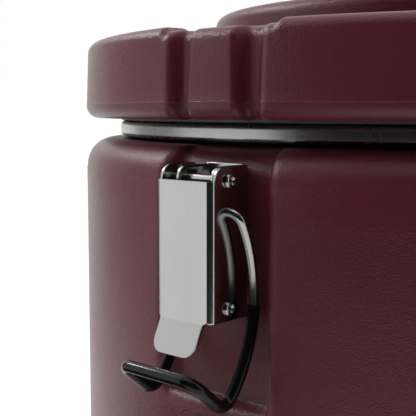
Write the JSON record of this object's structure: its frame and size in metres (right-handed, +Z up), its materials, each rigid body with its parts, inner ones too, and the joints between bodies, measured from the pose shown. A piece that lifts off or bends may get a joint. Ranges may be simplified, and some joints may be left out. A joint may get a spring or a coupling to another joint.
{
  "type": "insulated soup carrier",
  "caption": "Round foam-insulated soup carrier with a steel pot, a lift-off lid with a gasket and vent, hand grips, and draw latches whose wire loops hook over the lid.",
  "frame": {"origin": "centre of the foot ring, on the floor", "axes": "+Z up along the carrier's axis, -Y out of the front latch, +X out of one hand grip"},
  "size_m": [0.43, 0.5024, 0.427],
  "materials": {
    "moulded_plastic": "dark burgundy moulded polyethylene, fine stipple, semi-matt",
    "foam": "rigid insulating foam",
    "black_plastic": "black moulded plastic",
    "polished_steel": "polished stainless steel",
    "satin_steel": "satin stainless steel sheet",
    "black_sleeve": "semi-gloss black vinyl sleeve",
    "silicone": "dark grey silicone"
  },
  "bodies": {
    "body": {"body_shell": "moulded_plastic", "body_foam": "foam", "foam_plugs": "black_plastic", "pot": "polished_steel", "front_latch_base": "satin_steel", "front_base_screws": "polished_steel", "front_pivot_pin": "polished_steel", "back_latch_base": "satin_steel", "back_base_screws": "polished_steel", "back_pivot_pin": "polished_steel"},
    "lid": {"lid_shell": "moulded_plastic", "lid_foam": "foam", "lid_gasket": "silicone", "vent_bush": "black_plastic", "vent_seal": "silicone"},
    "vent": {"vent_cap": "black_plastic"},
    "front_latch": {"front_lever": "satin_steel", "front_cross_rivet": "polished_steel"},
    "front_loop": {"front_wire_loop": "polished_steel", "front_loop_sleeve": "black_sleeve"},
    "back_latch": {"back_lever": "satin_steel", "back_cross_rivet": "polished_steel"},
    "back_loop": {"back_wire_loop": "polished_steel", "back_loop_sleeve": "black_sleeve"}
  },
  "joints": [
    {"name": "lid_lift", "type": "slide", "parent": "body", "child": "lid", "axis": [0, 0, 1], "range_m": [0, 0.4]},
    {"name": "vent_lift", "type": "slide", "parent": "lid", "child": "vent", "axis": [0, 0, 1], "range_m": [0, 0.03]},
    {"name": "front_lever_hinge", "type": "hinge", "parent": "body", "child": "front_latch", "pos_m": [0, -0.2191, 0.347], "axis": [1, 0, 0], "range_deg": [-120, 0]},
    {"name": "front_loop_hinge", "type": "hinge", "parent": "front_latch", "child": "front_loop", "pos_m": [0, -0.2191, 0.3346], "axis": [-1, 0, 0], "range_deg": [0, 150]},
    {"name": "back_lever_hinge", "type": "hinge", "parent": "body", "child": "back_latch", "pos_m": [0, 0.2191, 0.347], "axis": [-1, 0, 0], "range_deg": [-120, 0]},
    {"name": "back_loop_hinge", "type": "hinge", "parent": "back_latch", "child": "back_loop", "pos_m": [0, 0.2191, 0.3346], "axis": [1, 0, 0], "range_deg": [0, 150]}
  ]
}
